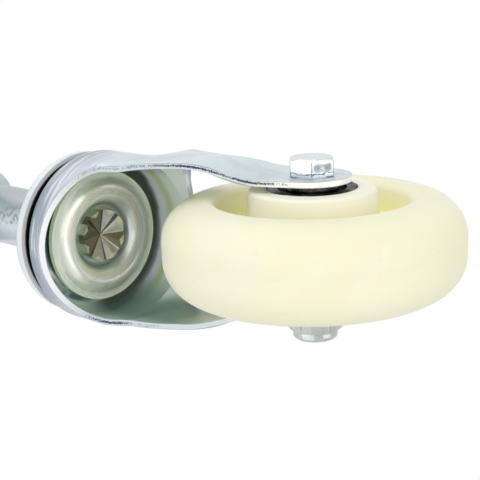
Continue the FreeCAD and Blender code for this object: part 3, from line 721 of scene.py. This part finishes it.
def bearingMaterial(name, look):
    material, tree, shader, point = startMaterial(name, 1.0)
    shader.inputs['Specular Tint'].default_value = look.get("glare", grey(1))
    smear = noise(tree, point, bearingPattern["smearSize"], 4.0, warp=1.0)
    smear = span(tree, smear, *bearingPattern["smearBorder"])
    ground = noise(tree, point, bearingPattern["groundSize"], 2.0, bearingPattern["groundStretch"])
    colour = mixColours(tree, smear, look["face"], look["oil"])
    finishMaterial(tree, shader, colour, roughness(tree, ground, look), ground, bearingPattern["depth"])
    return material


ballFinish = bearingMaterial("ballSteel", bearingLooks["ball"])
ringFinish = bearingMaterial("ringSteel", bearingLooks["ring"])
shieldFinish = bearingMaterial("shieldBlack", bearingLooks["shield"])
cageFinish = bearingMaterial("cageStrip", bearingLooks["cage"])
# swivel balls darkened: grease and painted shade
dress(bearingMaterial("greasyBallPaintedShade", bearingLooks["greasyBallPaintedShade"]), "upper_swivel_balls", "lower_swivel_balls")
for hand in ("left", "right"):
    dress(ringFinish, hand + "_outer_ring", hand + "_inner_ring")
    dress(shieldFinish, hand + "_shields")
    dress(ballFinish, hand + "_bearing_balls")
    dress(cageFinish, hand + "_cage")

# wheel: cream nylon, deeper in colour down in the recesses, partly the nylon's own colour and partly painted bounce
# light, faint flow marks and scuffs on the tread

wheelLook = {
    "tread": tint(251, 247, 222), "cloud": tint(249, 246, 214), "cloudSize": 28, "cloudBorder": (0.35, 0.65),
    # radii and depths in mm from the wheel's middle
    "recessBounceYellow": tint(252, 247, 176), "recessOuter": (33.5, 30.5), "recessInner": (24, 25), "recessDepth": (13, 5),
    "hub": tint(253, 251, 234), "hubRadius": (25, 24),
    "scuff": tint(232, 228, 206), "scuffSize": 2.5, "scuffStretch": (3, 1, 1), "scuffBorder": (0.6, 0.75),
    "scuffShare": 0.35, "scuffRough": 0.3, "treadStart": (47, 49.5),
    "specular": 0.3, "rough": (0.42, 0.54), "grainSize": 0.8, "depth": 0.012,
    "glow": 0.12, "glowReach": (4.0, 3.2, 1.4),
}


def wheelMaterial(look):
    material, tree, shader, point = startMaterial("wheelNylon", 0.0, look["specular"])
    clouds = span(tree, noise(tree, point, look["cloudSize"], 3.0, warp=0.8), *look["cloudBorder"])
    colour = mixColours(tree, clouds, look["tread"], look["cloud"])
    radius = distance(tree, point, axle, (0, 1, 1))
    within = times(tree, spanMm(tree, radius, *look["recessOuter"]), spanMm(tree, radius, *look["recessInner"]))
    sunk = spanMm(tree, magnitude(tree, axisValue(tree, point, 'X')), *look["recessDepth"])
    # deeper yellow in the recesses: painted bounce light over the nylon's own colour
    colour = mixColours(tree, times(tree, within, sunk), colour, look["recessBounceYellow"])
    colour = mixColours(tree, spanMm(tree, radius, *look["hubRadius"]), colour, look["hub"])
    scuffs = noise(tree, point, look["scuffSize"], 5.0, look["scuffStretch"])
    scuffs = span(tree, scuffs, *look["scuffBorder"], 0.0, look["scuffShare"])
    scuffs = times(tree, scuffs, spanMm(tree, radius, *look["treadStart"]))
    colour = mixColours(tree, scuffs, colour, look["scuff"])
    grain = noise(tree, point, look["grainSize"], 3.0)
    rough = plus(tree, roughness(tree, grain, look), times(tree, scuffs, look["scuffRough"]))
    finishMaterial(tree, shader, colour, rough, minus(tree, grain, scuffs), look["depth"])
    shader.inputs['Subsurface Weight'].default_value = look["glow"]
    shader.inputs['Subsurface Radius'].default_value = look["glowReach"]
    shader.inputs['Subsurface Scale'].default_value = mm
    return material


insertLook = {
    "face": tint(196, 204, 208), "cloud": tint(178, 188, 194), "cloudSize": 1.5, "cloudBorder": (0.4, 0.6),
    "rough": (0.35, 0.5), "depth": 0.01,
}


def insertMaterial(look):
    material, tree, shader, point = startMaterial("insertNylon", 0.0)
    clouds = noise(tree, point, look["cloudSize"], 3.0)
    colour = mixColours(tree, span(tree, clouds, *look["cloudBorder"]), look["face"], look["cloud"])
    finishMaterial(tree, shader, colour, roughness(tree, clouds, look), clouds, look["depth"])
    return material


dress(wheelMaterial(wheelLook), "wheel")
dress(insertMaterial(insertLook), "nut_insert")
print("nylon and bearings done")

# coil spring: wire spun round the rod, closed and ground flat at both ends

coil = {
    "wireRadius": 2.5 * mm, "wireSides": 14, "stepsPerTurn": 40, "closedTurns": 1.0, "openTurns": 7.5,
    "mergeWithin": 0.001 * mm, "sharpAngle": 50,
    "look": dict(stripLook, face=tint(128, 134, 142), cloud=tint(150, 156, 162), cloudSize=12,
                 lineStretch=(1, 1, 0.2), lineSize=0.6, rough=(0.2, 0.34)),
}


def spinCoil(bm, ring, turns, rise, settings):
    steps = round(turns * settings["stepsPerTurn"])
    spun = bmesh.ops.spin(bm, geom=ring, cent=(0, swivel.y, 0), axis=(0, 0, 1), dvec=(0, 0, rise / steps),
                          angle=2 * math.pi * turns, steps=steps, use_merge=False, use_duplicate=False)
    return spun["geom_last"]


def makeCoil(settings):
    low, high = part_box("spring")
    wire = settings["wireRadius"]
    bm = bmesh.new()
    upright = Matrix.Translation((high.x - wire, swivel.y, low.z)) @ Matrix.Rotation(math.pi / 2, 4, 'X')
    bmesh.ops.create_circle(bm, cap_ends=False, segments=settings["wireSides"], radius=wire, matrix=upright)
    length = high.z - low.z
    closedRise = settings["closedTurns"] * 2 * wire
    ring = spinCoil(bm, bm.verts[:] + bm.edges[:], settings["closedTurns"], closedRise, settings)
    ring = spinCoil(bm, ring, settings["openTurns"], length - 2 * closedRise, settings)
    spinCoil(bm, ring, settings["closedTurns"], closedRise, settings)
    bmesh.ops.remove_doubles(bm, verts=bm.verts[:], dist=settings["mergeWithin"])
    for height, way in ((low.z, -1), (high.z, 1)):  # grind the ends
        everything = bm.verts[:] + bm.edges[:] + bm.faces[:]
        bmesh.ops.bisect_plane(bm, geom=everything, plane_co=(0, 0, height), plane_no=(0, 0, way), clear_outer=True)
    bmesh.ops.holes_fill(bm, edges=[edge for edge in bm.edges if edge.is_boundary])
    bmesh.ops.recalc_face_normals(bm, faces=bm.faces[:])
    mesh = bpy.data.meshes.new("coilSpring")
    bm.to_mesh(mesh)
    bm.free()
    mesh.shade_smooth()
    mesh.set_sharp_from_angle(angle=math.radians(settings["sharpAngle"]))
    mesh.materials.append(zincMaterial("springWire", settings["look"]))
    spring = bpy.data.objects.new("coilSpring", mesh)
    scene.collection.objects.link(spring)
    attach(spring, "bracket")
    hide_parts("spring")
    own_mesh(spring)


makeCoil(coil)
print("coil spring done")

# stage: pale floor well below, white all round, soft lamps

stage = {
    "floorHeight": -1.8, "floorSize": 120.0, "floor": tint(244, 244, 243), "floorCloud": tint(240, 240, 239),
    "cloudSize": 400, "grainSize": 2, "grainDepth": 0.02, "floorRough": 0.9, "floorSpecular": 0.2,
    "floorWhite": 0.7, "ambient": 0.62,
    # name, place, width in metres, watts
    "lamps": [
        ("keyLamp", (-0.33, 0.76, -0.97), 1.1, 2.7),
        ("frontLamp", (0.40, 1.05, -0.22), 1.4, 3.3),
        ("sideLamp", (-0.05, -0.25, -1.25), 1.2, 2.9),
        ("topLamp", (-0.95, 0.10, 0.10), 1.2, 3.5),
    ],
}


def seenDirectly(tree):  # by the camera, or in metal and glass
    rays = addNode(tree, 'ShaderNodeLightPath').outputs
    mirrored = calc(tree, 'MAXIMUM', rays['Is Glossy Ray'], rays['Is Transmission Ray'])
    return calc(tree, 'MAXIMUM', rays['Is Camera Ray'], mirrored)


def makeFloor(settings):
    bm = bmesh.new()
    below = Matrix.Translation((0, 0, settings["floorHeight"]))
    bmesh.ops.create_grid(bm, x_segments=1, y_segments=1, size=settings["floorSize"] / 2, matrix=below)
    mesh = bpy.data.meshes.new("floor")
    bm.to_mesh(mesh)
    bm.free()
    floor = bpy.data.objects.new("floor", mesh)
    scene.collection.objects.link(floor)
    material, tree, shader, point = startMaterial("floorPaper", 0.0, settings["floorSpecular"])
    clouds = noise(tree, point, settings["cloudSize"], 2.0)
    colour = mixColours(tree, clouds, settings["floor"], settings["floorCloud"])
    grain = noise(tree, point, settings["grainSize"], 2.0)
    finishMaterial(tree, shader, colour, settings["floorRough"], grain, settings["grainDepth"])
    white = addNode(tree, 'ShaderNodeEmission', {'Color': grey(1), 'Strength': 1.0})
    share = times(tree, seenDirectly(tree), settings["floorWhite"])
    pale = addNode(tree, 'ShaderNodeMixShader', {0: share, 1: shader.outputs[0], 2: white.outputs[0]})
    join(tree, tree.nodes["Material Output"].inputs['Surface'], pale.outputs[0])
    mesh.materials.append(material)


def makeWorld(settings):
    world = bpy.data.worlds.new("studio")
    world.use_nodes = True
    scene.world = world
    tree = world.node_tree
    tree.nodes.clear()
    soft = addNode(tree, 'ShaderNodeBackground', {'Color': grey(1), 'Strength': settings["ambient"]})
    white = addNode(tree, 'ShaderNodeBackground', {'Color': grey(1), 'Strength': 1.0})
    mix = addNode(tree, 'ShaderNodeMixShader', {0: seenDirectly(tree), 1: soft.outputs[0], 2: white.outputs[0]})
    addNode(tree, 'ShaderNodeOutputWorld', {'Surface': mix.outputs[0]})


def makeLamps(settings):
    middle = (Vector(cadBox[0]) + Vector(cadBox[1])) / 2
    for name, place, size, power in settings["lamps"]:
        lamp = bpy.data.lights.new(name, 'AREA')
        lamp.shape = 'DISK'
        lamp.size = size
        lamp.energy = power
        holder = bpy.data.objects.new(name, lamp)
        scene.collection.objects.link(holder)
        holder.location = place
        holder.rotation_euler = (middle - Vector(place)).to_track_quat('-Z', 'Y').to_euler()


makeFloor(stage)
makeWorld(stage)
makeLamps(stage)
scene.view_settings.view_transform = 'Standard'
print("stage done")

# camera: low in front, the wheel's axle upright in the picture

photo = {
    "place": (-0.09207, 0.20418, -0.45294), "aim": (-0.00200, -0.05674, -0.19645),
    "up": (-0.97025, -0.19798, 0.13932), "lens": 85.82, "sensor": 36, "clipStart": 0.02,
}


def makeCamera(settings):
    camera = bpy.data.cameras.new("photoCamera")
    camera.lens = settings["lens"]
    camera.sensor_width = settings["sensor"]
    camera.clip_start = settings["clipStart"]
    holder = bpy.data.objects.new("photoCamera", camera)
    scene.collection.objects.link(holder)
    place = Vector(settings["place"])
    back = (place - Vector(settings["aim"])).normalized()
    right = Vector(settings["up"]).cross(back).normalized()
    turn = Matrix((right, back.cross(right), back)).transposed()
    holder.matrix_world = Matrix.Translation(place) @ turn.to_4x4()
    scene.camera = holder


makeCamera(photo)
